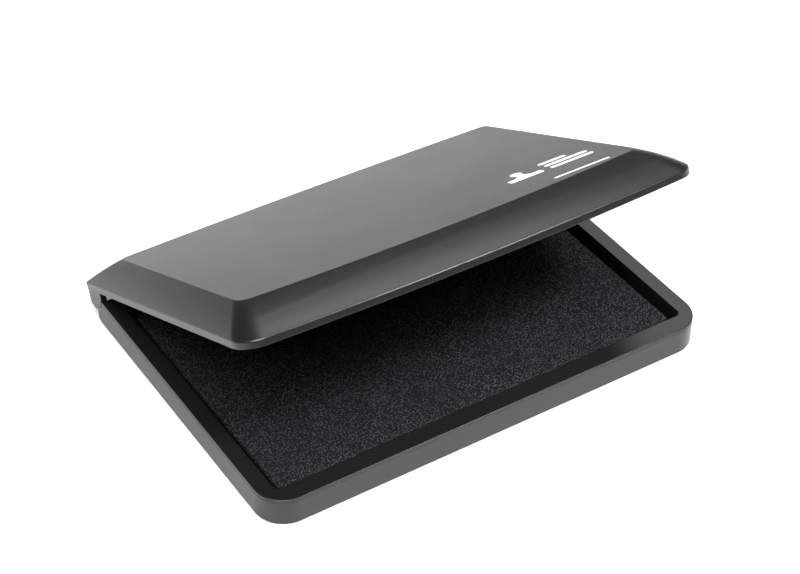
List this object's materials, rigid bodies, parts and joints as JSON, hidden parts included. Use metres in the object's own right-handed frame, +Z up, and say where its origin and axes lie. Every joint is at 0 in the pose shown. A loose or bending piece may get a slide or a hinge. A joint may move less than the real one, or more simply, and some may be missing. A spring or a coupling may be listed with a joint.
{
  "type": "ink pad",
  "caption": "Flat rectangular stamp pad in a black plastic case, with a cloth-covered inking pad in a shallow base and a bevelled lid hinged along the rear.",
  "frame": {"origin": "middle of the base's underside, under the middle of the flat rim", "axes": "+X along the hinge and the long side, +Y from the opening front to the hinge at the rear, +Z up"},
  "size_m": [0.1214, 0.0925, 0.0491],
  "materials": {
    "case_plastic": "satin, finely spark-eroded moulding",
    "carrier_plastic": "plain moulded sheet",
    "ink_foam": "open-cell foam soaked with ink",
    "ink_felt": "pressed felt soaked with ink",
    "pad_fabric": "fine cover cloth, black with ink"
  },
  "bodies": {
    "base": {"base_tray": "case_plastic", "rim_frame": "case_plastic", "pad_carrier": "carrier_plastic", "pad_foam": "ink_foam", "pad_felt": "ink_felt", "pad_cloth": "pad_fabric"},
    "lid": {"lid_shell": "case_plastic"}
  },
  "joints": [
    {"name": "lid_hinge", "type": "hinge", "parent": "base", "child": "lid", "pos_m": [0, 0.0467, 0.0076], "axis": [-1, 0, 0], "range_deg": [-26, 154]}
  ]
}
